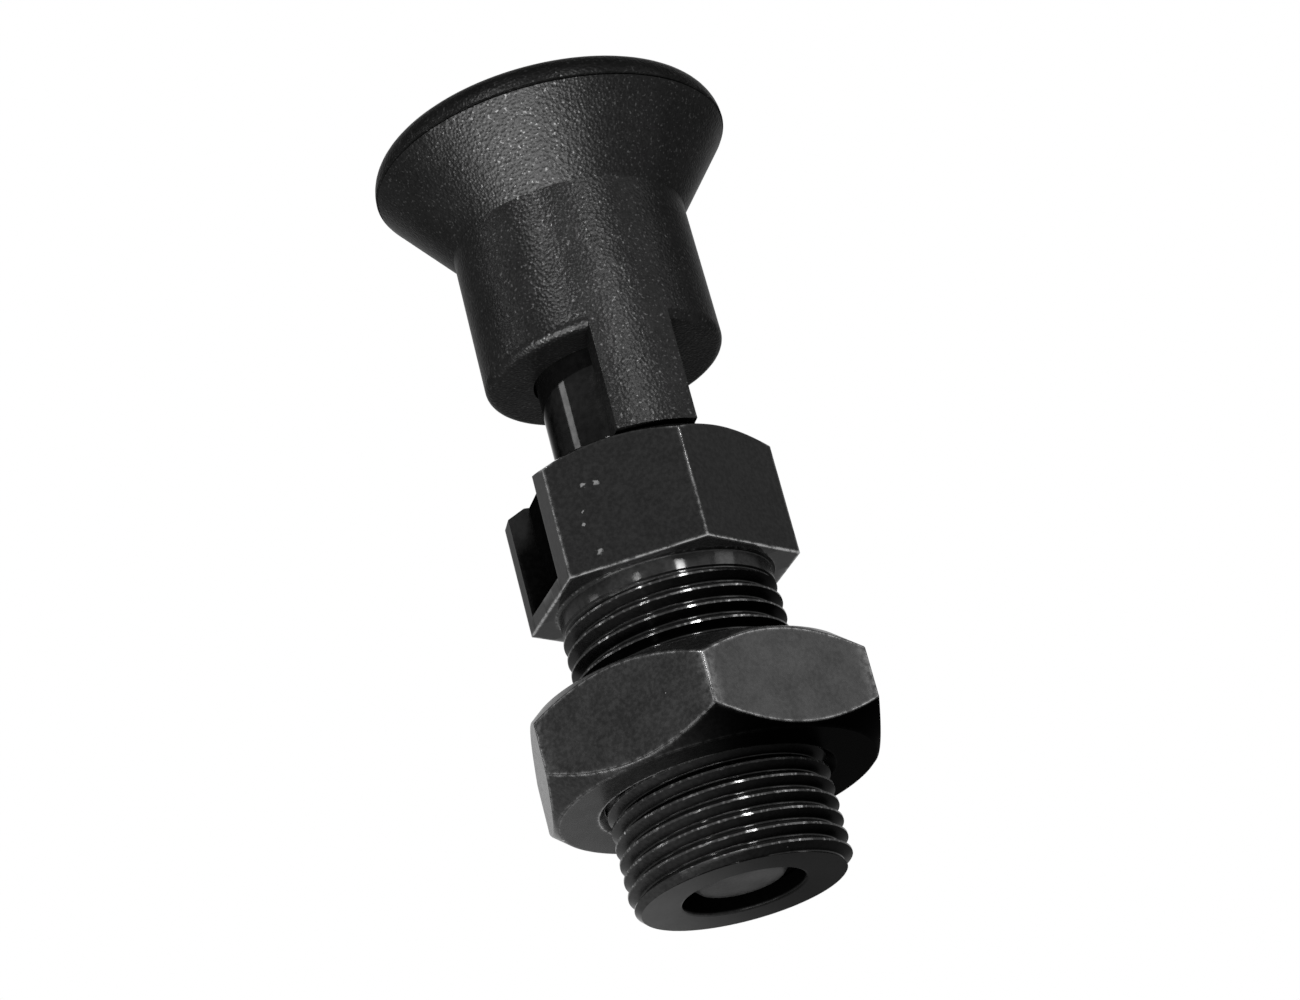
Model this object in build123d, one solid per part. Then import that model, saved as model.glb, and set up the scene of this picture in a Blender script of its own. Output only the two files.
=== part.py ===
"""Lockable indexing plunger, M20 x 1.5, with a moulded mushroom knob and a lock nut.

Millimetres, +Z up along the plunger's axis. The origin is the centre of the threaded end's
face, on which the plunger can stand. The knob is pulled out and parked on the hexagon.
"""
from build123d import *

import os
from math import asin, cos, radians, sin, tan

# Knob and its locking lug
knob_diameter = 33.5
knob_crown = 0.8
rim_radius = 2.85
rim_bead = 0.07  # straight band under the rim's round
rim_groove_width = 0.24
rim_groove_depth = 0.3
rim_step = 0.14  # cone's upper edge inside the rim
cone_height = 7.32
skirt_diameter = 22.4
skirt_top_diameter = 22.1
skirt_length = 14.54
skirt_edge_radius = 1.0
lug_width = 7.5
lug_thickness = 2.0
lug_length = 10.35
lug_edge_radius = 0.5
lug_park_angle = 88.5  # turn of the parked lug from the slot
lug_rest_gap = 0.15  # parked lug above the hexagon
skirt_rest_gap = 0.1  # skirt above the hexagon when the lug is in its slot

# Threaded body
thread_diameter = 20.0
thread_end_chamfer = 0.75
seat_height = 28.5  # hexagon's underside above the end face
neck_length = 1.8
neck_diameter = 19.7
neck_root_radius = 0.3
hex_across_flats = 22.0
hex_height = 12.0
hex_chamfer_diameter = 20.9
hex_chamfer_angle = 30.0
hex_clocking = 3.5  # turn of the hexagon from the slot's centre line
slot_side_gap = 0.45
slot_back_gap = 0.15
slot_end_gap = 0.35

# Index pin
pin_diameter = 10.0
pin_recess = 0.8  # parked nose inside the end face
pin_chamfer = 1.0
pin_crown = 0.25
pin_clearance = 0.05
pin_guide_length = 12.0
pin_mouth_chamfer = 0.8
collar_diameter = 11.8
collar_length = 2.0
shank_diameter = 7.0
spigot_diameter = 6.0  # upper end, fixed in the knob
spigot_length = 7.5
spigot_chamfer = 0.5

# Spring
spring_wire = 0.9
spring_facets = 8  # sides of the wire's section, which is kept light
spring_turns = 5.5
spring_side_gap = 0.35
chamber_diameter = 12.4

# Guide sleeve
sleeve_diameter = 13.2
sleeve_depth = 8.5  # pressed in below the hexagon's top
sleeve_chamfer = 0.5
sleeve_end_gap = 0.3  # below the knob's bore end when the lug is in its slot
shank_clearance = 0.08
knob_slide_clearance = 0.25
knob_bore_roof = 0.6  # bore's end below the skirt's top

# Lock nut
nut_across_flats = 29.6
nut_height = 9.5
nut_position = 9.4  # lower face above the end face
nut_clocking = 46.5  # turn of a flat from X
nut_chamfer_diameter = 28.9
nut_chamfer_angle = 42.0
nut_clearance = 0.05
nut_countersink = 0.7

# Levels that follow, from the threaded end up
hex_top = seat_height + hex_height
lug_bottom = hex_top + lug_rest_gap
skirt_bottom = lug_bottom + lug_length
skirt_top = skirt_bottom + skirt_length
travel = skirt_bottom - hex_top - skirt_rest_gap  # engaged to parked
knob_bore_top = skirt_top - knob_bore_roof
sleeve_bottom = hex_top - sleeve_depth
sleeve_top = knob_bore_top - travel - sleeve_end_gap
collar_bottom = pin_guide_length + travel
collar_top = collar_bottom + collar_length


def rod(diameter, bottom, top):
    """Round bar on the axis between two levels."""
    bar = Cylinder(diameter / 2, top - bottom, align=(Align.CENTER, Align.CENTER, Align.MIN))
    return Pos(0, 0, bottom) * bar


def cone(lower_diameter, upper_diameter, bottom, top):
    """Cone frustum on the axis between two levels."""
    body = Cone(
        lower_diameter / 2,
        upper_diameter / 2,
        top - bottom,
        align=(Align.CENTER, Align.CENTER, Align.MIN),
    )
    return Pos(0, 0, bottom) * body


def hexagon(across_flats, bottom, top, clocking):
    """Hexagonal bar with a flat at the clocking angle from X."""
    section = RegularPolygon(across_flats / 2, 6, major_radius=False, rotation=clocking + 30)
    return Pos(0, 0, bottom) * extrude(section, top - bottom)


def corner_trim(diameter, angle, bottom, top):
    """Wide cone that trims a hexagon's corners down to a circle on its top face."""
    reach = (top - bottom) / tan(radians(angle))
    return cone(diameter + 2 * reach, diameter, bottom, top)


def quarter_arc(centre_radius, level, radius, start_angle):
    """Quarter circle in the XZ plane about a centre at the given radius and level."""
    angles = [radians(start_angle + turn) for turn in (0, 45, 90)]
    points = [(centre_radius + radius * cos(a), 0, level + radius * sin(a)) for a in angles]
    return ThreePointArc(*points)


def crown_arc(radius, level, rise):
    """Arc in the XZ plane of a sphere centred on the axis, from its edge to the axis."""
    sphere = (radius**2 + rise**2) / (2 * rise)
    half_angle = asin(radius / sphere) / 2
    middle = (sphere * sin(half_angle), 0, level + rise - sphere * (1 - cos(half_angle)))
    return ThreePointArc((radius, 0, level), middle, (0, 0, level + rise))


def turned(outline):
    """Solid of revolution of a closed outline in the XZ plane."""
    return revolve(make_face(outline), Axis.Z)


def shank():
    """Turned shank below the hexagon: end chamfer, thread, and neck with its root radius."""
    radius = thread_diameter / 2
    neck_radius = neck_diameter / 2
    thread_top = seat_height - neck_length
    root_bottom = seat_height - neck_root_radius
    root_radius = neck_radius + neck_root_radius
    outline = Polyline(
        (root_radius, 0, seat_height),
        (0, 0, seat_height),
        (0, 0, 0),
        (radius - thread_end_chamfer, 0, 0),
        (radius, 0, thread_end_chamfer),
        (radius, 0, thread_top),
        (neck_radius, 0, thread_top),
        (neck_radius, 0, root_bottom),
    )
    return turned(outline + quarter_arc(root_radius, root_bottom, neck_root_radius, 90))


def hex_head():
    """Hexagon with a turned chamfer round its top and sharp lower edges."""
    bar = hexagon(hex_across_flats, seat_height, hex_top, 180 + hex_clocking)
    return bar & corner_trim(hex_chamfer_diameter, hex_chamfer_angle, seat_height, hex_top)


def lug_slot():
    """Cutter for the open-topped slot on the hexagon's -X side, which takes the lug."""
    back = skirt_diameter / 2 - lug_thickness - slot_back_gap
    floor = lug_bottom - travel - slot_end_gap
    cutter = Box(
        hex_across_flats,
        lug_width + 2 * slot_side_gap,
        hex_height,
        align=(Align.MAX, Align.CENTER, Align.MIN),
    )
    return Pos(-back, 0, floor) * cutter


def body_bores():
    """Cutter for the chamfered mouth, pin guide, spring chamber and sleeve seat."""
    guide_diameter = pin_diameter + 2 * pin_clearance
    mouth_diameter = guide_diameter + 2 * pin_mouth_chamfer
    mouth = cone(mouth_diameter, guide_diameter, 0, pin_mouth_chamfer)
    guide = rod(guide_diameter, 0, pin_guide_length)
    chamber = rod(chamber_diameter, pin_guide_length, sleeve_bottom)
    seat = rod(sleeve_diameter, sleeve_bottom, hex_top)
    return mouth + guide + chamber + seat


def threaded_body():
    """Steel body turned from hexagon bar: threaded shank, plain neck and slotted hexagon."""
    return shank() + hex_head() - lug_slot() - body_bores()


def guide_sleeve():
    """Polished sleeve pressed into the body: it closes the spring chamber and guides the knob."""
    outside = rod(sleeve_diameter, sleeve_bottom, sleeve_top)
    outside = chamfer(outside.faces().sort_by(Axis.Z)[-1].edges(), sleeve_chamfer)
    return outside - rod(shank_diameter + 2 * shank_clearance, sleeve_bottom, sleeve_top)


def index_pin():
    """Hardened pin in one piece: crowned nose, collar, shank and the spigot in the knob."""
    nose_flat = pin_diameter / 2 - pin_chamfer
    spigot_top = knob_bore_top + spigot_length
    side = Polyline(
        (0, 0, pin_recess - pin_crown),
        (0, 0, spigot_top),
        (spigot_diameter / 2 - spigot_chamfer, 0, spigot_top),
        (spigot_diameter / 2, 0, spigot_top - spigot_chamfer),
        (spigot_diameter / 2, 0, knob_bore_top),
        (shank_diameter / 2, 0, knob_bore_top),
        (shank_diameter / 2, 0, collar_top),
        (collar_diameter / 2, 0, collar_top),
        (collar_diameter / 2, 0, collar_bottom),
        (pin_diameter / 2, 0, collar_bottom),
        (pin_diameter / 2, 0, pin_recess + pin_chamfer),
        (nose_flat, 0, pin_recess),
    )
    return turned(side + crown_arc(nose_flat, pin_recess, -pin_crown))


def plunger_spring():
    """Compression spring between the pin's collar and the sleeve, with ground ends."""
    length = sleeve_bottom - collar_top
    mean_radius = (chamber_diameter - spring_wire) / 2 - spring_side_gap
    coil = Helix(length / spring_turns, length, mean_radius)
    wire_end = Plane(origin=coil @ 0, z_dir=coil % 0)
    section = wire_end * RegularPolygon(spring_wire / 2, spring_facets)
    wire = Pos(0, 0, collar_top) * sweep(section, path=coil, is_frenet=True)
    return wire & rod(chamber_diameter, collar_top, sleeve_bottom)


def knob_head():
    """Knob turned about its axis: skirt with a rounded lower edge, cone, grooved rim, crown."""
    radius = knob_diameter / 2
    cone_top = skirt_top + cone_height
    groove_top = cone_top + rim_groove_width
    rim_bottom = groove_top + rim_bead
    rim_top = rim_bottom + rim_radius
    side = Polyline(
        (0, 0, rim_top + knob_crown),
        (0, 0, skirt_bottom),
        (skirt_diameter / 2, 0, skirt_bottom),
        (skirt_top_diameter / 2, 0, skirt_top),
        (radius - rim_step, 0, cone_top),
        (radius - rim_groove_depth, 0, (cone_top + groove_top) / 2),
        (radius, 0, groove_top),
        (radius, 0, rim_bottom),
    )
    rim = quarter_arc(radius - rim_radius, rim_bottom, rim_radius, 0)
    head = turned(side + rim + crown_arc(radius - rim_radius, rim_top, knob_crown))
    return fillet(head.faces().sort_by(Axis.Z)[0].edges(), skirt_edge_radius)


def knob_lug():
    """Lug that hangs from the skirt, flush with its outside, with parallel sides."""
    outer = skirt_diameter / 2
    wall = turned(
        Polyline(
            (outer - lug_thickness, 0, lug_bottom),
            (outer, 0, lug_bottom),
            (outer, 0, skirt_bottom),
            (skirt_top_diameter / 2, 0, skirt_top),
            (outer - lug_thickness, 0, skirt_top),
            close=True,
        )
    )
    slab = Box(
        outer,
        lug_width,
        skirt_top - lug_bottom,
        align=(Align.MAX, Align.CENTER, Align.MIN),
    )
    lug = wall & (Pos(0, 0, lug_bottom) * slab)
    lug = fillet(lug.faces().sort_by(Axis.Z)[0].edges(), lug_edge_radius)
    return Rot(0, 0, lug_park_angle) * lug


def knob():
    """Moulded mushroom knob with the skirt that slides on the sleeve and the locking lug."""
    bore = rod(sleeve_diameter + 2 * knob_slide_clearance, skirt_bottom, knob_bore_top)
    spigot_hole = rod(spigot_diameter, knob_bore_top, knob_bore_top + spigot_length)
    return knob_head() + knob_lug() - bore - spigot_hole


def lock_nut():
    """Thin hexagon nut on the thread, chamfered and countersunk on both sides."""
    nut_top = nut_position + nut_height
    middle = Plane.XY.offset(nut_position + nut_height / 2)
    bore_diameter = thread_diameter + 2 * nut_clearance
    trim = corner_trim(nut_chamfer_diameter, nut_chamfer_angle, nut_position, nut_top)
    sink = cone(
        bore_diameter,
        bore_diameter + 2 * nut_countersink,
        nut_top - nut_countersink,
        nut_top,
    )
    bar = hexagon(nut_across_flats, nut_position, nut_top, nut_clocking)
    nut = (bar & trim & mirror(trim, about=middle)) - rod(bore_diameter, nut_position, nut_top)
    return nut - sink - mirror(sink, about=middle)


os.makedirs("parts", exist_ok=True)
for piece in (threaded_body, guide_sleeve, index_pin, plunger_spring, knob, lock_nut):
    export_step(piece(), f"parts/{piece.__name__}.step")
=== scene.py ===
"""Lockable indexing plunger with a lock nut: thread, edges and finish over the CAD frame.

The scene is in metres, with +Z up along the plunger's axis and the origin at the centre of the
threaded end's face. Named sizes are in millimetres and named angles in degrees.
"""
from math import atan2, ceil, cos, hypot, pi, radians, sin, sqrt, tan

import bmesh
import bpy
from mathutils import Matrix, Vector


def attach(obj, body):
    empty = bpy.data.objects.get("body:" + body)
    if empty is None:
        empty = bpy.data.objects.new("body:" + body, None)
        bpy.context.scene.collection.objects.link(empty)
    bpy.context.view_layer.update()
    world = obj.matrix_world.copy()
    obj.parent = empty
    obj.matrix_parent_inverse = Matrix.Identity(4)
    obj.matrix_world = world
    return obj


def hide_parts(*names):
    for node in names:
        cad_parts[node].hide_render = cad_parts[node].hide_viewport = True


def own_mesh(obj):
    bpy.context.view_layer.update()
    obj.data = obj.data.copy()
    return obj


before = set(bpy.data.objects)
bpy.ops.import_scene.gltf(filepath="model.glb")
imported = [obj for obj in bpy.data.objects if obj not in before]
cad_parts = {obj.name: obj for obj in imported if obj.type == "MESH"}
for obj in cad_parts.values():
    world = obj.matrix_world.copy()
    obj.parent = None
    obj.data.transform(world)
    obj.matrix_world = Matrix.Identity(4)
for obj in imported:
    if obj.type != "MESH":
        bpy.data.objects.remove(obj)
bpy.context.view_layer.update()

# ---------------------------------------------------------------- camera
# The plunger is seen from below its threaded end, leaning over to the left, through a long
# lens from a third of a metre away.
camera_data = bpy.data.cameras.new("camera")
camera_data.sensor_width = 36.0
camera_data.lens = 106.6
camera_data.clip_start = 0.01
camera = bpy.data.objects.new("camera", camera_data)
camera.location = (-0.10746, -0.30516, -0.09206)
camera.rotation_euler = (radians(112.566), radians(13.927), radians(-13.843))
bpy.context.scene.collection.objects.link(camera)
bpy.context.scene.camera = camera
bpy.context.scene.view_settings.view_transform = "Standard"

# ---------------------------------------------------------------- floor, backdrop and lamps
# A pale floor far below, so that it doesn't hide the threaded end, a white backdrop all round,
# and softboxes placed by their turn from the viewer and their height over the horizon.
MM = 0.001
viewer = 250.6  # azimuth of the viewer, from X
floor_level = -600
floor_size = 8000
floor_glow = 0.45
room_light = 0.3
backdrop_light = 1.0


def new_object(name, bm):
    """Finish a bmesh as a linked object at the origin."""
    mesh = bpy.data.meshes.new(name)
    bm.to_mesh(mesh)
    bm.free()
    piece = bpy.data.objects.new(name, mesh)
    bpy.context.scene.collection.objects.link(piece)
    return piece


def grey(level):
    """Colour of a grey level."""
    return level, level, level, 1


def add_node(tree, kind, inputs=None, **settings):
    """Add a shader node with its settings, and with values or links for its inputs."""
    node = tree.nodes.new(kind)
    for name, value in settings.items():
        setattr(node, name, value)
    for socket, value in (inputs or {}).items():
        if isinstance(value, bpy.types.NodeSocket):
            tree.links.new(value, node.inputs[socket])
        else:
            node.inputs[socket].default_value = value
    return node


def calculate(tree, operation, *values, clamp=False):
    """Output of a Math node on values or sockets."""
    inputs = dict(enumerate(values))
    return add_node(tree, "ShaderNodeMath", inputs, operation=operation, use_clamp=clamp).outputs[0]


def new_material(name, constants):
    """Material whose Principled BSDF has the given constant values."""
    material = bpy.data.materials.new(name)
    material.use_nodes = True
    tree = material.node_tree
    tree.nodes.clear()
    shader = add_node(tree, "ShaderNodeBsdfPrincipled", constants)
    add_node(tree, "ShaderNodeOutputMaterial", {"Surface": shader.outputs["BSDF"]})
    return material, tree, shader


def background_rays(tree):
    """1 for the rays that show the background: the camera's, and those that gloss mirrors."""
    path = add_node(tree, "ShaderNodeLightPath").outputs
    mirrored = calculate(tree, "MAXIMUM", path["Is Glossy Ray"], path["Is Transmission Ray"])
    return calculate(tree, "MAXIMUM", path["Is Camera Ray"], mirrored)


floor_mesh = bmesh.new()
bmesh.ops.create_grid(floor_mesh, x_segments=1, y_segments=1, size=floor_size / 2 * MM)
bmesh.ops.translate(floor_mesh, verts=floor_mesh.verts, vec=(0, 0, floor_level * MM))
floor = new_object("floor", floor_mesh)
floor_material, tree, shader = new_material(
    "pale_floor", {"Base Color": grey(0.9), "Roughness": 0.8, "Emission Color": grey(1)}
)
glow = calculate(tree, "MULTIPLY", background_rays(tree), floor_glow)
tree.links.new(glow, shader.inputs["Emission Strength"])
floor.data.materials.append(floor_material)

world = bpy.data.worlds.new("studio")
world.use_nodes = True
bpy.context.scene.world = world
tree = world.node_tree
tree.nodes.clear()
room = add_node(tree, "ShaderNodeBackground", {"Color": grey(1), "Strength": room_light})
backdrop = add_node(tree, "ShaderNodeBackground", {"Color": grey(1), "Strength": backdrop_light})
surround = add_node(
    tree,
    "ShaderNodeMixShader",
    {"Fac": background_rays(tree), 1: room.outputs[0], 2: backdrop.outputs[0]},
)
add_node(tree, "ShaderNodeOutputWorld", {"Surface": surround.outputs[0]})


def add_softbox(name, turn, height, size, radiance, distance=0.8):
    """Rectangular lamp aimed at the plunger's middle, its turn, height and size angles from there."""
    middle = Vector((0, 0, 38 * MM))
    azimuth, elevation = radians(viewer + turn), radians(height)
    level = cos(elevation)
    away = Vector((level * cos(azimuth), level * sin(azimuth), sin(elevation)))
    data = bpy.data.lights.new(name, "AREA")
    data.shape = "RECTANGLE"
    data.size, data.size_y = (2 * distance * tan(radians(side / 2)) for side in size)
    data.energy = radiance * pi * data.size * data.size_y
    lamp = bpy.data.objects.new(name, data)
    lamp.location = middle + away * distance
    lamp.rotation_euler = away.to_track_quat("Z", "Y").to_euler()
    lamp.visible_camera = False
    bpy.context.scene.collection.objects.link(lamp)


add_softbox("lower_softbox", turn=-25, height=-52, size=(60, 28), radiance=31, distance=0.5)
add_softbox("left_strip", turn=-25.5, height=35, size=(4, 8), radiance=300)
add_softbox("right_strip", turn=23, height=22, size=(8, 12), radiance=95)
add_softbox("right_softbox", turn=32, height=34, size=(44, 40), radiance=1)
add_softbox("nut_softbox", turn=73, height=22, size=(22, 30), radiance=3.5)
add_softbox("sleeve_softbox", turn=-79, height=27, size=(11, 11), radiance=15)

# ---------------------------------------------------------------- threaded body
# Turned from 22 mm hexagon bar, threaded M20 x 1.5 and bored from both ends, with a slot milled
# in one flat for the knob's lug. Black oxide over steel, rubbed bright along its edges and
# nicked by use.
thread_radius = 10.0
pitch = 1.5
thread_depth = 0.6134 * pitch
crest_half = pitch / 16
flank_height = 0.4688
flank_depth = 0.8119
root_round = 0.1443 * pitch
thread_crest_at_x = 1.2  # height of a crest at azimuth 0
thread_top = 26.7
end_circle = 9.25  # radius of the end face inside its chamfer
groove_radius = 9.7  # where the thread runs out
neck_radius = 9.85
neck_round = 0.3
columns = 192  # steps round the body and the nut
mouth_radius = 5.5
mouth_depth = 1.6
guide_radius = 5.05
chamber_radius = 6.2
chamber_bottom = 12
sleeve_radius = 6.6
sleeve_bottom = 32
hex_apothem = 11.0
hex_flat = 183.5
hex_bottom = 28.5
hex_top = 40.5
hex_circle = 10.45  # radius of the top face inside its chamfer
hex_slope = tan(radians(30))
hex_break = 0.1
slot_half = 4.2
slot_back = -9.05
slot_floor = 29.9
weld = 0.002 * MM  # points closer than this are one


def thread_surface(radius, height):
    """Radius of the threaded surface at a height: end chamfer, and run-out at the neck."""
    radius = max(min(radius, end_circle + height), end_circle - 2 * height)
    left = thread_top - height
    radius = min(radius, groove_radius + left)
    return max(radius, groove_radius - 0.7 * left)


def thread_profile():
    """One pitch of the thread from the middle of a crest up: (height, depth) points."""
    flank = [(crest_half + share * flank_height, share * flank_depth) for share in (0, 0.33, 0.67)]
    centre = thread_depth - root_round
    root = [
        (pitch / 2 + root_round * sin(radians(angle)), centre + root_round * cos(radians(angle)))
        for angle in range(-60, 1, 20)
    ]
    rising = flank + root
    return rising + [(pitch - height, depth) for height, depth in reversed(rising[:-1])]


def point(radius, azimuth, height):
    """Point in metres at a radius and a height in millimetres, azimuth in radians."""
    return radius * MM * cos(azimuth), radius * MM * sin(azimuth), height * MM


def helical_thread(bm):
    """Spin the thread's toothed profile one turn while it climbs one pitch."""
    seam = radians(hex_flat + 30)
    start_crest = (thread_crest_at_x + pitch * seam / (2 * pi)) % pitch
    column = []
    for coil in range(-2, ceil(thread_top / pitch) + 1):
        for rise, depth in thread_profile():
            height = start_crest + coil * pitch + rise
            column.append(bm.verts.new(point(thread_radius - depth, seam, height)))
    edges = [bm.edges.new(pair) for pair in zip(column, column[1:])]
    bmesh.ops.spin(
        bm,
        geom=column + edges,
        cent=(0, 0, 0),
        axis=(0, 0, 1),
        dvec=(0, 0, pitch * MM / columns),
        angle=2 * pi,
        steps=columns,
    )
    for vert in bm.verts:
        height = min(max(vert.co.z / MM, 0), thread_top)
        radius = thread_surface(hypot(vert.co.x, vert.co.y) / MM, height)
        vert.co = point(radius, atan2(vert.co.y, vert.co.x), height)
    bmesh.ops.remove_doubles(bm, verts=bm.verts, dist=weld)


def rim_edges(bm, height):
    """Open edges at a height."""
    return [
        edge
        for edge in bm.edges
        if edge.is_boundary
        and all(abs(vert.co.z - height * MM) < 5 * weld for vert in edge.verts)
    ]


def extrude_rim(bm, edges):
    """Extrude edges in place, and give the new vertices and the new edges between them."""
    new = bmesh.ops.extrude_edge_only(bm, edges=edges)["geom"]
    verts = {item for item in new if isinstance(item, bmesh.types.BMVert)}
    rim = [
        item
        for item in new
        if isinstance(item, bmesh.types.BMEdge) and all(vert in verts for vert in item.verts)
    ]
    return verts, rim


def draw_out(bm, edges, place):
    """Extrude a ring of edges, each new vertex going to the (radius, height) of its azimuth."""
    verts, rim = extrude_rim(bm, edges)
    for vert in verts:
        azimuth = atan2(vert.co.y, vert.co.x)
        radius, height = place(azimuth)
        vert.co = point(radius, azimuth, height)
    return rim


def draw_rings(bm, edges, places):
    """Extrude a ring of edges through a list of (radius, height)."""
    for place in places:
        edges = draw_out(bm, edges, lambda azimuth: place)
    return edges


def hexagon_radius(azimuth, apothem, flat):
    """Distance from the axis to the side of a hexagon."""
    off_flat = (azimuth - radians(flat) + radians(30)) % radians(60) - radians(30)
    return apothem / cos(off_flat)


def arc(radius, height, size, start, end, steps):
    """Points of an arc in the (radius, height) plane, ends left out."""
    angles = [radians(start + (end - start) * step / steps) for step in range(1, steps)]
    return [(radius + size * cos(angle), height + size * sin(angle)) for angle in angles]


def cut_planes(bm, planes, near):
    """Cut the faces near a place along planes, each given by a point and a normal."""
    for through, normal in planes:
        faces = [face for face in bm.faces if near(face.calc_center_median())]
        edges = {edge for face in faces for edge in face.edges}
        verts = {vert for face in faces for vert in face.verts}
        bmesh.ops.bisect_plane(
            bm,
            geom=list(verts) + list(edges) + faces,
            dist=weld / 4,
            plane_co=through,
            plane_no=normal,
        )


def fill_planes(bm, planes):
    """Close a planar hole in each plane from the open edges that lie in it."""
    for through, normal in planes:
        through, normal = Vector(through), Vector(normal)
        edges = [
            edge
            for edge in bm.edges
            if len(edge.link_faces) < 2
            and all(abs((vert.co - through).dot(normal)) < weld for vert in edge.verts)
        ]
        bmesh.ops.contextual_create(bm, geom=edges)


def soften(bm, width, keep):
    """Bevel the convex edges that a test keeps."""
    edges = [
        edge
        for edge in bm.edges
        if edge.is_manifold
        and edge.is_convex
        and edge.calc_face_angle() > radians(25)
        and keep(edge)
    ]
    bmesh.ops.bevel(
        bm,
        geom=edges,
        offset=width * MM,
        offset_type="OFFSET",
        affect="EDGES",
        segments=2,
        profile=0.5,
        material=-1,
        clamp_overlap=True,
    )


def smooth_shade(piece, angle=35):
    """Smooth shading with edges over an angle kept sharp and the large faces left flat."""
    for polygon in piece.data.polygons:
        polygon.use_smooth = True
    piece.data.set_sharp_from_angle(angle=radians(angle))
    weighted = piece.modifiers.new("flat_faces", "WEIGHTED_NORMAL")
    weighted.keep_sharp = True


def hexagon_side(height):
    """Place on the hexagon's side at a height, trimmed by the turned chamfer above."""

    def place(azimuth):
        radius = hexagon_radius(azimuth, hex_apothem, hex_flat)
        chamfer = hex_top - (radius - hex_circle) * hex_slope
        return radius, min(height, chamfer)

    return place


body = bmesh.new()
helical_thread(body)
mouth = [(5.85, 0), (5.62, 0.1), (mouth_radius, 0.35), (mouth_radius, mouth_depth)]
guide = [(guide_radius, mouth_depth), (guide_radius, chamber_bottom)]
chamber = [(chamber_radius, chamber_bottom), (chamber_radius, sleeve_bottom)]
seat = [(sleeve_radius, sleeve_bottom), (sleeve_radius, hex_top)]
draw_rings(body, rim_edges(body, 0), mouth + guide + chamber + seat)
groove = [(groove_radius, 26.8), (neck_radius, 26.95)]
neck = [(neck_radius, hex_bottom - neck_round)]
neck += arc(neck_radius + neck_round, hex_bottom - neck_round, neck_round, 180, 90, 4)
neck += [(neck_radius + neck_round, hex_bottom)]
edges = draw_rings(body, rim_edges(body, thread_top), groove + neck)
edges = draw_out(body, edges, hexagon_side(hex_bottom))
edges = draw_out(body, edges, hexagon_side(hex_top))
draw_rings(body, edges, [(hex_circle, hex_top), (sleeve_radius, hex_top)])
bmesh.ops.remove_doubles(body, verts=body.verts, dist=weld)
bmesh.ops.recalc_face_normals(body, faces=body.faces)

slot_planes = [
    ((0, slot_half * MM, 0), (0, 1, 0)),
    ((0, -slot_half * MM, 0), (0, 1, 0)),
    ((0, 0, slot_floor * MM), (0, 0, 1)),
    ((slot_back * MM, 0, 0), (1, 0, 0)),
]


def near_slot(place):
    return place.x < -6 * MM and place.z > 28.6 * MM and hypot(place.x, place.y) > 6.7 * MM


cut_planes(body, slot_planes, near_slot)
milled = [
    face
    for face in body.faces
    if (centre := face.calc_center_median()).x < slot_back * MM
    and abs(centre.y) < slot_half * MM
    and centre.z > slot_floor * MM
]
bmesh.ops.delete(body, geom=milled, context="FACES")
for side in (slot_half * MM, -slot_half * MM):
    rim = [vert for vert in body.verts if vert.is_boundary and abs(vert.co.y - side) < weld]
    low = min(rim, key=lambda vert: (vert.co.z, vert.co.x))
    high = max(rim, key=lambda vert: (vert.co.z, vert.co.x))
    corner = body.verts.new((slot_back * MM, side, slot_floor * MM))
    body.edges.new((low, corner))
    body.edges.new((high, corner))
corners = [vert for vert in body.verts if len(vert.link_edges) == 2 and not vert.link_faces]
body.edges.new(corners)
fill_planes(body, slot_planes)
bmesh.ops.recalc_face_normals(body, faces=body.faces)


def on_hexagon(edge):
    return all(
        vert.co.z > 28.4 * MM and hypot(vert.co.x, vert.co.y) > 8.9 * MM for vert in edge.verts
    )


soften(body, hex_break, on_hexagon)
threaded_body = new_object("threaded_body_finish", body)
smooth_shade(threaded_body)


def new_group(name, inputs, outputs):
    """Node group with float inputs, given with their values, and with named outputs."""
    group = bpy.data.node_groups.new(name, "ShaderNodeTree")
    for socket, value in inputs.items():
        made = group.interface.new_socket(socket, in_out="INPUT", socket_type="NodeSocketFloat")
        made.default_value = value
    for socket in outputs:
        group.interface.new_socket(socket, in_out="OUTPUT", socket_type="NodeSocketFloat")
    given = group.nodes.new("NodeGroupInput").outputs
    return group, given


def give_out(group, values):
    """Join values to a group's outputs."""
    out = group.nodes.new("NodeGroupOutput")
    for socket, value in values.items():
        group.links.new(value, out.inputs[socket])


def ramp(tree, value, start, end, low=0.0, high=1.0):
    """Smooth change from low to high as a value goes from start to end."""
    inputs = {"Value": value, "From Min": start, "From Max": end, "To Min": low, "To Max": high}
    return add_node(
        tree, "ShaderNodeMapRange", inputs, interpolation_type="SMOOTHSTEP"
    ).outputs["Result"]


def spread(tree, value, low, high):
    """Change from low to high over the middle of a noise's range."""
    return ramp(tree, value, 0.3, 0.7, low, high)


def noise(tree, place, scale, detail=2.0, roughness=0.5):
    """Noise about 0.5 at a number of grains per metre."""
    inputs = {"Vector": place, "Scale": scale, "Detail": detail, "Roughness": roughness}
    return add_node(tree, "ShaderNodeTexNoise", inputs).outputs["Fac"]


def object_place(tree):
    """Object coordinates of the surface."""
    return add_node(tree, "ShaderNodeTexCoord").outputs["Object"]


def radius_and_height(tree, place):
    """Distance from the axis, and height."""
    parts = add_node(tree, "ShaderNodeSeparateXYZ", {0: place}).outputs
    flat = add_node(tree, "ShaderNodeCombineXYZ", {"X": parts["X"], "Y": parts["Y"]})
    radius = add_node(tree, "ShaderNodeVectorMath", {0: flat.outputs[0]}, operation="LENGTH")
    return radius.outputs["Value"], parts["Z"]


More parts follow.
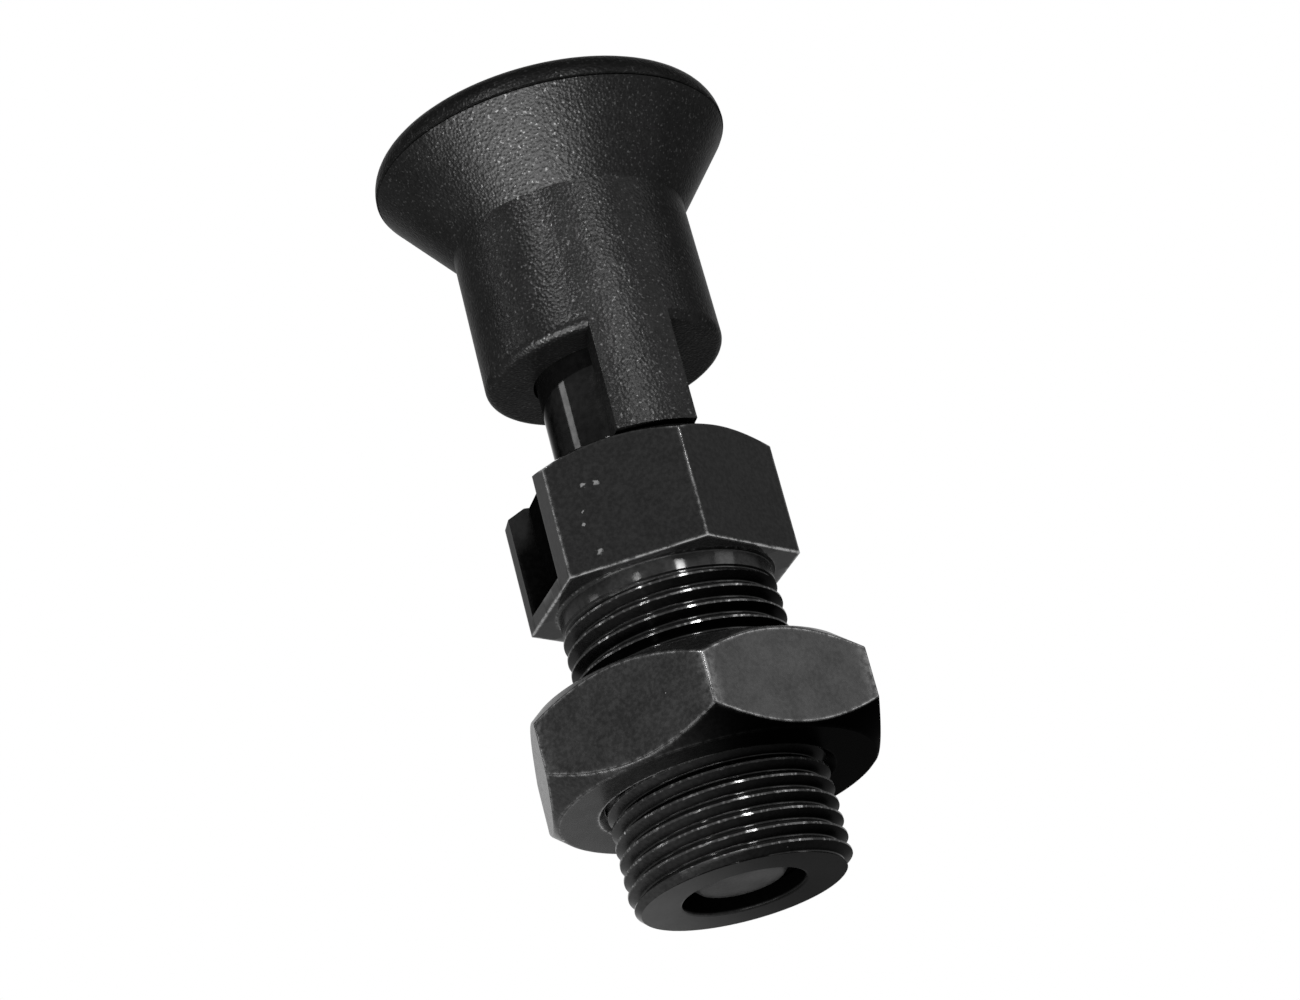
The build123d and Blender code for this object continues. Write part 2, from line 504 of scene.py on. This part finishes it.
# Rubbed edges: how far the surface turns within a radius, broken up by noise.
rubbed_edges, given = new_group("rubbed_edges", {"Radius": 0.2 * MM, "Gain": 6.0}, ["Mask"])
rounded = add_node(rubbed_edges, "ShaderNodeBevel", {"Radius": given["Radius"]}, samples=8)
straight = add_node(rubbed_edges, "ShaderNodeNewGeometry")
turn = add_node(
    rubbed_edges,
    "ShaderNodeVectorMath",
    {0: rounded.outputs[0], 1: straight.outputs["Normal"]},
    operation="DOT_PRODUCT",
).outputs["Value"]
turned_away = calculate(rubbed_edges, "SUBTRACT", 1.0, turn)
wear = calculate(rubbed_edges, "MULTIPLY", turned_away, given["Gain"])
scratches = noise(rubbed_edges, object_place(rubbed_edges), 1300.0, detail=4.0, roughness=0.75)
patches = ramp(rubbed_edges, scratches, 0.38, 0.62, 0.1, 1.0)
mask = calculate(rubbed_edges, "MULTIPLY", wear, patches, clamp=True)
give_out(rubbed_edges, {"Mask": mask})

# Black oxide: blotches some millimetres wide, a fine grain, and bright nicks here and there.
# Bare steel shows through where it is rubbed or nicked, and the oxide is part metal, part dull.
bare_tone = 0.35
oxide_metal = 0.85
black_oxide, given = new_group(
    "black_oxide",
    {"Tone": 0.021, "Blotches": 0.1, "Grain": 2500.0, "Nicks": 0.03, "Rubbed": 0.0},
    ["Tone", "Metal", "Grain"],
)
place = object_place(black_oxide)
blotches = spread(black_oxide, noise(black_oxide, place, 350.0, detail=3.0), -1.0, 1.0)
grain = noise(black_oxide, place, given["Grain"], detail=3.0, roughness=0.6)
fleck = spread(black_oxide, grain, -0.2, 0.2)
change = calculate(black_oxide, "MULTIPLY_ADD", blotches, given["Blotches"], fleck)
tone = calculate(black_oxide, "MULTIPLY", given["Tone"], calculate(black_oxide, "ADD", change, 1.0))
cells = add_node(black_oxide, "ShaderNodeTexVoronoi", {"Vector": place, "Scale": 700.0}).outputs
chosen = add_node(black_oxide, "ShaderNodeSeparateColor", {0: cells["Color"]}).outputs
rare = calculate(black_oxide, "LESS_THAN", chosen[0], given["Nicks"])
size = calculate(black_oxide, "MULTIPLY", chosen[1], 0.16)
spot = calculate(black_oxide, "LESS_THAN", cells["Distance"], size)
nick = calculate(black_oxide, "MULTIPLY", rare, spot)
bare = calculate(black_oxide, "MAXIMUM", given["Rubbed"], nick)
mixed = add_node(black_oxide, "ShaderNodeMix", {"Factor": bare, "A": tone, "B": bare_tone})
metal = calculate(black_oxide, "MULTIPLY_ADD", bare, 1 - oxide_metal, oxide_metal)
give_out(black_oxide, {"Tone": mixed.outputs[0], "Metal": metal, "Grain": grain})

# Turning marks: fine rings that follow the radius on a face and the height on a cylinder.
turning_marks, given = new_group("turning_marks", {"Rings": 6000.0}, ["Height"])
radius, height = radius_and_height(turning_marks, object_place(turning_marks))
along = calculate(turning_marks, "ADD", radius, height)
ring = calculate(turning_marks, "MULTIPLY", along, given["Rings"])
marks = add_node(
    turning_marks,
    "ShaderNodeTexNoise",
    {"W": ring, "Scale": 1.0, "Detail": 2.0},
    noise_dimensions="1D",
)
give_out(turning_marks, {"Height": marks.outputs["Fac"]})

# Painted shade: one side of the faces that look down, under the nut and at the end of the thread, is
# darkened, standing in for darker reflections there.
painted_shade_side = 340.6
underside_painted_shade, given = new_group("underside_painted_shade", {"Dark": 0.2}, ["Unshaded"])
beside = add_node(
    underside_painted_shade,
    "ShaderNodeVectorMath",
    {0: object_place(underside_painted_shade), 1: (cos(radians(painted_shade_side)), sin(radians(painted_shade_side)), 0)},
    operation="DOT_PRODUCT",
).outputs["Value"]
painted_shade_share = ramp(underside_painted_shade, beside, -16 * MM, 6 * MM)
facing = add_node(underside_painted_shade, "ShaderNodeTexCoord").outputs["Normal"]
upward = add_node(underside_painted_shade, "ShaderNodeSeparateXYZ", {0: facing}).outputs["Z"]
under = ramp(underside_painted_shade, upward, -0.3, -0.6)
painted_shade_share = calculate(underside_painted_shade, "MULTIPLY", painted_shade_share, under)
loss = calculate(underside_painted_shade, "SUBTRACT", 1.0, given["Dark"])
dark = calculate(underside_painted_shade, "MULTIPLY", painted_shade_share, loss)
give_out(underside_painted_shade, {"Unshaded": calculate(underside_painted_shade, "SUBTRACT", 1.0, dark)})


def place_group(tree, group, **inputs):
    """Add a node group with values or links for its inputs."""
    named = {name.title(): value for name, value in inputs.items()}
    return add_node(tree, "ShaderNodeGroup", named, node_tree=group).outputs


def painted_shade_darkened(tree, oxide, unshaded):
    """Tone of the oxide and its share of metal where the painted shade lies on it."""
    metal = calculate(tree, "MULTIPLY", oxide["Metal"], unshaded)
    tone = calculate(tree, "MULTIPLY", oxide["Tone"], calculate(tree, "MULTIPLY", unshaded, unshaded))
    return tone, metal


def bump(tree, height, depth, normal=None):
    """Normal of a height map whose full range is a depth in millimetres."""
    inputs = {"Height": height, "Distance": depth * MM, "Strength": 1.0}
    if normal is not None:
        inputs["Normal"] = normal
    return add_node(tree, "ShaderNodeBump", inputs).outputs[0]


def paint(tree, shader, tone, grain, roughness, normal, metal=None):
    """Join a grey tone, a roughness that follows a grain, a normal and a share of metal."""
    tree.links.new(tone, shader.inputs["Base Color"])
    tree.links.new(spread(tree, grain, *roughness), shader.inputs["Roughness"])
    tree.links.new(normal, shader.inputs["Normal"])
    if metal is not None:
        tree.links.new(metal, shader.inputs["Metallic"])


def black_shine(tint, **others):
    """Constants of a black finish, with its grazing reflections held down to a tint."""
    return {"Specular Tint": grey(tint), "Specular IOR Level": 0.0} | others


oxide_tint = 0.66
# Chips in the flat beside the slot: place and radius.
hexagon_chips = [
    ((-7.74, -8.43, 36.57), 0.22),
    ((-6.78, -8.91, 36.41), 0.3),
    ((-8.28, -8.16, 34.13), 0.15),
    ((-8.44, -8.08, 33.02), 0.14),
    ((-7.76, -8.42, 30.15), 0.35),
]


def hexagon_steel():
    """Flats of the bar: satin black, with rubbed edges."""
    material, tree, shader = new_material("hexagon_steel", black_shine(oxide_tint))
    place = object_place(tree)
    radius, height = radius_and_height(tree, place)
    outside = ramp(tree, radius, 9.9 * MM, 10.3 * MM)
    lower = ramp(tree, height, (hex_bottom + 0.6) * MM, (hex_bottom + 0.3) * MM, 0.04, 1.0)
    corner = ramp(tree, radius, 12.1 * MM, 12.5 * MM, 0.04, 0.6)
    share = calculate(tree, "MULTIPLY", outside, calculate(tree, "MAXIMUM", lower, corner))
    edges = place_group(tree, rubbed_edges, radius=0.45 * MM, gain=14.0)["Mask"]
    rubbed = calculate(tree, "MULTIPLY", edges, share)
    ragged = spread(tree, noise(tree, place, 3500.0), -0.2 * MM, 0.2 * MM)
    for spot, size in hexagon_chips:
        centre = [side * MM for side in spot]
        gap = add_node(tree, "ShaderNodeVectorMath", {0: place, 1: centre}, operation="DISTANCE")
        gap = calculate(tree, "ADD", gap.outputs["Value"], ragged)
        rubbed = calculate(tree, "MAXIMUM", rubbed, ramp(tree, gap, size * MM, 0.0, 0.0, 0.5))
    oxide = place_group(tree, black_oxide, tone=0.015, blotches=0.05, rubbed=rubbed)
    normal = bump(tree, oxide["Grain"], 0.001)
    paint(tree, shader, oxide["Tone"], oxide["Grain"], (0.09, 0.11), normal, oxide["Metal"])
    return material


def turned_steel():
    """Thread, neck and end face: turned, with the crests rubbed."""
    ringed = {"Anisotropic": 0.96, "Anisotropic Rotation": 0.25}
    material, tree, shader = new_material("turned_steel", black_shine(oxide_tint, **ringed))
    around = add_node(tree, "ShaderNodeTangent", direction_type="RADIAL", axis="Z")
    tree.links.new(around.outputs[0], shader.inputs["Tangent"])
    place = object_place(tree)
    radius, _ = radius_and_height(tree, place)
    crest = ramp(tree, radius, (thread_radius - 0.1) * MM, thread_radius * MM)
    worn = ramp(tree, noise(tree, place, 2200.0, detail=3.0, roughness=0.7), 0.5, 0.72, 0.02, 0.5)
    rubbed = calculate(tree, "MULTIPLY", crest, worn)
    oxide = place_group(tree, black_oxide, nicks=0.04, rubbed=rubbed)
    shaded = ramp(tree, radius, mouth_radius * MM, (mouth_radius + 0.2) * MM, 0.1, 1.0)
    # Painted shade on one side of the faces that look down.
    unshaded_share = place_group(tree, underside_painted_shade, dark=0.22)["Unshaded"]
    tone, metal = painted_shade_darkened(tree, oxide, calculate(tree, "MULTIPLY", unshaded_share, shaded))
    rings = place_group(tree, turning_marks, rings=9000.0)["Height"]
    normal = bump(tree, rings, 0.0008, bump(tree, oxide["Grain"], 0.0003))
    paint(tree, shader, tone, oxide["Grain"], (0.16, 0.19), normal, metal)
    return material


def slot_painted_shade():
    """Walls of the milled slot, dull, and painted near black as the shade inside it."""
    material, tree, shader = new_material("slot_painted_shade", black_shine(0.1, Metallic=oxide_metal))
    oxide = place_group(tree, black_oxide, tone=0.003, nicks=0.0)
    normal = bump(tree, oxide["Grain"], 0.004)
    paint(tree, shader, oxide["Tone"], oxide["Grain"], (0.3, 0.4), normal)
    return material


for finish in (hexagon_steel(), turned_steel(), slot_painted_shade()):
    threaded_body.data.materials.append(finish)
for polygon in threaded_body.data.polygons:
    x, y, z = (side / MM for side in polygon.center)
    if z < hex_bottom - 0.01:
        polygon.material_index = 1
    # Faces inside the slot take the painted shade.
    elif x < -6 and abs(y) < slot_half + 0.01 and z > slot_floor:
        polygon.material_index = 2
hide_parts("threaded_body")
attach(threaded_body, "body")

# ---------------------------------------------------------------- guide sleeve
# Plain steel sleeve, polished and blackened, pressed into the body's bore from the top. It
# closes the spring's chamber, and the knob's skirt slides over it.
sleeve_top = 54.24
sleeve_bore = 3.58
turned_steps = 128  # steps round the sleeve and the pin


def turned(outline, steps):
    """Closed shape turned round the axis from (radius, height) points."""
    bm = bmesh.new()
    verts = [bm.verts.new((radius * MM, 0, height * MM)) for radius, height in outline]
    edges = [bm.edges.new(pair) for pair in zip(verts, verts[1:])]
    bmesh.ops.spin(
        bm,
        geom=verts + edges,
        cent=(0, 0, 0),
        axis=(0, 0, 1),
        angle=2 * pi,
        steps=steps,
        use_merge=True,
    )
    bmesh.ops.remove_doubles(bm, verts=bm.verts, dist=weld)
    bmesh.ops.recalc_face_normals(bm, faces=bm.faces)
    return bm


outside = [(sleeve_radius, sleeve_bottom), (sleeve_radius, sleeve_top - 0.5)]
inside = [(sleeve_bore, sleeve_top), (sleeve_bore, sleeve_bottom)]
sleeve = turned(
    [(sleeve_bore, sleeve_bottom)] + outside + [(sleeve_radius - 0.5, sleeve_top)] + inside,
    turned_steps,
)
guide_sleeve = new_object("guide_sleeve_finish", sleeve)
smooth_shade(guide_sleeve)
material, tree, shader = new_material("polished_black_steel", black_shine(0.45))
oxide = place_group(tree, black_oxide, tone=0.01, grain=1500.0, nicks=0.02)
normal = bump(tree, oxide["Grain"], 0.0005)
paint(tree, shader, oxide["Tone"], oxide["Grain"], (0.06, 0.09), normal, oxide["Metal"])
guide_sleeve.data.materials.append(material)
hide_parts("guide_sleeve")
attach(guide_sleeve, "body")

# ---------------------------------------------------------------- index pin
# Steel pin, hardened and ground in one piece with its collar and with the spigot that the knob
# is fixed on. Its nose is chamfered and slightly crowned.
pin_radius = 5
collar_radius = 5.9
collar_bottom = 22.4
collar_top = 24.4
shank_radius = 3.5
spigot_radius = 3
spigot_bottom = 64.94
spigot_top = 72.44
nose = [(0, 0.8), (1.5, 0.81), (3, 0.86), (3.6, 0.9), (3.85, 1.0), (4.95, 2.1), (pin_radius, 2.2)]
collar = [(pin_radius, collar_bottom), (collar_radius, collar_bottom), (collar_radius, collar_top)]
shank = [(shank_radius, collar_top), (shank_radius, spigot_bottom)]
spigot = [(spigot_radius, spigot_bottom), (spigot_radius, spigot_top - 0.5)]
end = [(spigot_radius - 0.5, spigot_top), (0, spigot_top)]
pin = turned(nose + collar + shank + spigot + end, turned_steps)
index_pin = new_object("index_pin_finish", pin)
smooth_shade(index_pin)
material, tree, shader = new_material("ground_steel", black_shine(oxide_tint))
edges = place_group(tree, rubbed_edges, radius=0.3 * MM, gain=2.0)["Mask"]
_, height = radius_and_height(tree, object_place(tree))
rubbed = calculate(tree, "MULTIPLY", edges, ramp(tree, height, 3.0 * MM, 2.0 * MM))
oxide = place_group(tree, black_oxide, tone=0.016, blotches=0.3, nicks=0.02, rubbed=rubbed)
rings = place_group(tree, turning_marks, rings=4000.0)["Height"]
normal = bump(tree, rings, 0.002, bump(tree, oxide["Grain"], 0.002))
paint(tree, shader, oxide["Tone"], oxide["Grain"], (0.3, 0.42), normal, oxide["Metal"])
index_pin.data.materials.append(material)
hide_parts("index_pin")
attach(index_pin, "plunger")

# ---------------------------------------------------------------- spring
# Compression spring coiled from round steel wire, with ground ends. It is held between the
# pin's collar and the sleeve, and nothing of it shows.
wire_radius = 0.45
coil_radius = 5.4
spring_length = 7.6
spring_turns = 5.5
spring_steps = 264
spring = bmesh.new()
bmesh.ops.create_circle(spring, segments=12, radius=wire_radius * MM)
bmesh.ops.rotate(spring, verts=spring.verts, matrix=Matrix.Rotation(radians(90), 3, "X"))
bmesh.ops.translate(spring, verts=spring.verts, vec=(coil_radius * MM, 0, collar_top * MM))
bmesh.ops.spin(
    spring,
    geom=spring.verts[:] + spring.edges[:],
    cent=(0, 0, 0),
    axis=(0, 0, 1),
    dvec=(0, 0, spring_length * MM / spring_steps),
    angle=2 * pi * spring_turns,
    steps=spring_steps,
)
for level, side in ((sleeve_bottom, 1), (collar_top, -1)):
    bmesh.ops.bisect_plane(
        spring,
        geom=spring.verts[:] + spring.edges[:] + spring.faces[:],
        plane_co=(0, 0, level * MM),
        plane_no=(0, 0, side),
        clear_outer=True,
    )
bmesh.ops.holes_fill(spring, edges=spring.edges[:])
bmesh.ops.recalc_face_normals(spring, faces=spring.faces)
plunger_spring = new_object("plunger_spring_finish", spring)
smooth_shade(plunger_spring, 50)
material, tree, shader = new_material("spring_wire", {"Metallic": 1.0})
oxide = place_group(tree, black_oxide, tone=0.25, blotches=0.2, grain=4000.0, nicks=0.0)
paint(tree, shader, oxide["Tone"], oxide["Grain"], (0.25, 0.4), bump(tree, oxide["Grain"], 0.002))
plunger_spring.data.materials.append(material)
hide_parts("plunger_spring")
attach(plunger_spring, "lift")
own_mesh(plunger_spring)

# ---------------------------------------------------------------- knob
# Mushroom knob moulded in one piece with its skirt and its locking lug, and fixed on the pin's
# spigot. Its black plastic has a spark-eroded grain that glitters where the light strikes it.
lug_azimuth = 268.5
lug_half = 3.75
lug_inside = 9.2
lug_end = 40.65
lug_round = 0.3
skirt_radius = 11.2
skirt_bore = 6.85
skirt_end = 51.0
skirt_round = 1.0
skirt_foot = 11.193  # radius above the skirt's lower round
rim_radius = 16.75
rim_height = 73.17
rim_round = 2.85
knob_steps = 256
hole = [(0, spigot_top), (spigot_radius, spigot_top), (spigot_radius, spigot_bottom)]
hollow = [(skirt_bore, spigot_bottom), (skirt_bore, skirt_end), (lug_inside, skirt_end)]
foot = arc(skirt_foot - skirt_round, skirt_end + skirt_round, skirt_round, 270, 360, 8)
skirt = [(10.2, skirt_end)] + foot + [(skirt_foot, skirt_end + skirt_round), (11.05, 65.54)]
bead = [(16.61, 72.86), (16.45, 72.98), (rim_radius, 73.1), (rim_radius, rim_height)]
shoulder = arc(rim_radius - rim_round, rim_height, rim_round, 0, 90, 12)
crown = [(13.9, 76.02), (11, 76.32), (7.5, 76.59), (4, 76.755), (0, 76.82)]
knob = turned(hole + hollow + skirt + bead + shoulder + crown, knob_steps)

lug_turn = radians(lug_azimuth)
across = Vector((cos(lug_turn + pi / 2), sin(lug_turn + pi / 2), 0))
toward = Vector((cos(lug_turn), sin(lug_turn), 0))
lug_sides = (lug_half * MM, -lug_half * MM)
lug_planes = [(across * side, across) for side in lug_sides]


def near_lug(place):
    return place.dot(toward) > 7 * MM and place.z < 52.2 * MM and hypot(place.x, place.y) > 9 * MM


cut_planes(knob, lug_planes, near_lug)
root = [
    face
    for face in knob.faces
    if near_lug(centre := face.calc_center_median())
    and abs(centre.dot(across)) < lug_half * MM
    and centre.z < (skirt_end + skirt_round) * MM
    and hypot(centre.x, centre.y) > lug_inside * MM
]
bmesh.ops.delete(knob, geom=root, context="FACES")
inner = [
    edge
    for edge in rim_edges(knob, skirt_end)
    if all(hypot(*vert.co.xy) < (lug_inside + 0.005) * MM for vert in edge.verts)
]
outer = rim_edges(knob, skirt_end + skirt_round)


def draw_down(bm, edges, radius, height):
    """Extrude edges of the lug, keeping the sides parallel at the new radius."""
    verts, rim = extrude_rim(bm, edges)
    for vert in verts:
        beside = vert.co.dot(across)
        place = across * beside + toward * sqrt((radius * MM) ** 2 - beside**2)
        vert.co = (place.x, place.y, height * MM)
    return rim


outer = draw_down(knob, outer, skirt_radius, skirt_end - 1)
outer = draw_down(knob, outer, skirt_radius, lug_end)
inner = draw_down(knob, inner, lug_inside, lug_end)
for side in lug_sides:
    ends = [
        vert
        for vert in {v for edge in outer + inner for v in edge.verts}
        if abs(vert.co.dot(across) - side) < weld
    ]
    knob.edges.new(ends)
fill_planes(knob, lug_planes)
fill_planes(knob, [((0, 0, lug_end * MM), (0, 0, 1))])
bmesh.ops.recalc_face_normals(knob, faces=knob.faces)


def on_lug_outside(edge):
    return all(
        near_lug(vert.co) and vert.co.z < 51.9 * MM and hypot(*vert.co.xy) > 11.0 * MM
        for vert in edge.verts
    )


soften(knob, lug_round, on_lug_outside)
knob_object = new_object("knob_finish", knob)
smooth_shade(knob_object)
material, tree, shader = new_material("moulded_plastic", black_shine(0.5, Metallic=0.85))
place = object_place(tree)
_, height = radius_and_height(tree, place)
pebbles = add_node(
    tree,
    "ShaderNodeTexVoronoi",
    {"Vector": place, "Scale": 3300.0, "Smoothness": 0.3},
    feature="SMOOTH_F1",
)
grain = noise(tree, place, 2400.0, detail=3.0, roughness=0.6)
sparkle = ramp(tree, noise(tree, place, 4000.0, detail=1.0), 0.6, 0.78, 0.9, 3.6)
# Painted shade: the rim's shoulder and crown above the bead are darkened to 0.6 of the tone.
rim = ramp(tree, height, 72.9 * MM, 73.2 * MM, 1.0, 0.6)
blotches = noise(tree, place, 220.0, detail=3.0)
speckled = calculate(tree, "MULTIPLY", sparkle, spread(tree, grain, 0.008, 0.011))
rim_shade_and_blotches = calculate(tree, "MULTIPLY", rim, spread(tree, blotches, 0.9, 1.1))
tone = calculate(tree, "MULTIPLY", speckled, rim_shade_and_blotches)
normal = bump(tree, pebbles.outputs["Distance"], 0.04, bump(tree, grain, 0.015))
paint(tree, shader, tone, blotches, (0.36, 0.4), normal)
knob_object.data.materials.append(material)
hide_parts("knob")
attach(knob_object, "plunger")

# ---------------------------------------------------------------- lock nut
# Thin hexagon nut that turns on the body's thread, cut from rolled bar, chamfered on both faces
# and blackened. Spanners and the plate it locks against have rubbed its corners and lower
# edges bright.
nut_bottom = 9.4
nut_top = 18.9
nut_apothem = 14.8
nut_flat = 46.5
nut_circle = 14.45  # radius of both faces inside their chamfers
nut_slope = tan(radians(42))
nut_bore = 10.05
nut_lead = 0.7  # chamfer at both ends of the bore
nut_break = 0.12


def nut_side(height):
    """Place on the nut's side at its upper or lower edge, trimmed by the turned chamfers."""

    def place(azimuth):
        radius = hexagon_radius(azimuth, nut_apothem, nut_flat)
        trim = max(radius - nut_circle, 0) * nut_slope
        return radius, height - trim if height == nut_top else height + trim

    return place


nut = bmesh.new()
bmesh.ops.create_circle(nut, segments=columns, radius=nut_bore * MM)
bmesh.ops.rotate(nut, verts=nut.verts, matrix=Matrix.Rotation(radians(nut_flat + 30), 3, "Z"))
bmesh.ops.translate(nut, verts=nut.verts, vec=(0, 0, (nut_bottom + nut_lead) * MM))
lead_radius = nut_bore + nut_lead
edges = draw_rings(nut, nut.edges[:], [(lead_radius, nut_bottom), (nut_circle, nut_bottom)])
edges = draw_out(nut, edges, nut_side(nut_bottom))
edges = draw_out(nut, edges, nut_side(nut_top))
face = [(nut_circle, nut_top), (lead_radius, nut_top)]
bore = [(nut_bore, nut_top - nut_lead), (nut_bore, nut_bottom + nut_lead)]
draw_rings(nut, edges, face + bore)
bmesh.ops.remove_doubles(nut, verts=nut.verts, dist=weld)
bmesh.ops.recalc_face_normals(nut, faces=nut.faces)


def on_nut_side(edge):
    return all(hypot(vert.co.x, vert.co.y) > 14 * MM for vert in edge.verts)


soften(nut, nut_break, on_nut_side)
lock_nut = new_object("lock_nut_finish", nut)
smooth_shade(lock_nut)
material, tree, shader = new_material("rolled_steel", black_shine(oxide_tint))
place = object_place(tree)
radius, _ = radius_and_height(tree, place)
edges = place_group(tree, rubbed_edges, radius=0.5 * MM, gain=14.0)["Mask"]
near_corner = ramp(tree, radius, 16.3 * MM, 17.2 * MM)
scuffs = ramp(tree, noise(tree, place, 1800.0, detail=3.0, roughness=0.6), 0.3, 0.75, 0.0, 0.12)
rubbed = calculate(tree, "MAXIMUM", edges, calculate(tree, "MULTIPLY", near_corner, scuffs))
oxide = place_group(
    tree, black_oxide, tone=0.018, blotches=0.12, grain=2600.0, nicks=0.04, rubbed=rubbed
)
# Painted shade on one side of the faces that look down.
unshaded_share = place_group(tree, underside_painted_shade, dark=0.06)["Unshaded"]
tone, metal = painted_shade_darkened(tree, oxide, unshaded_share)
normal = bump(tree, oxide["Grain"], 0.004)
paint(tree, shader, tone, oxide["Grain"], (0.22, 0.3), normal, metal)
lock_nut.data.materials.append(material)
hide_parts("lock_nut")
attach(lock_nut, "nut")
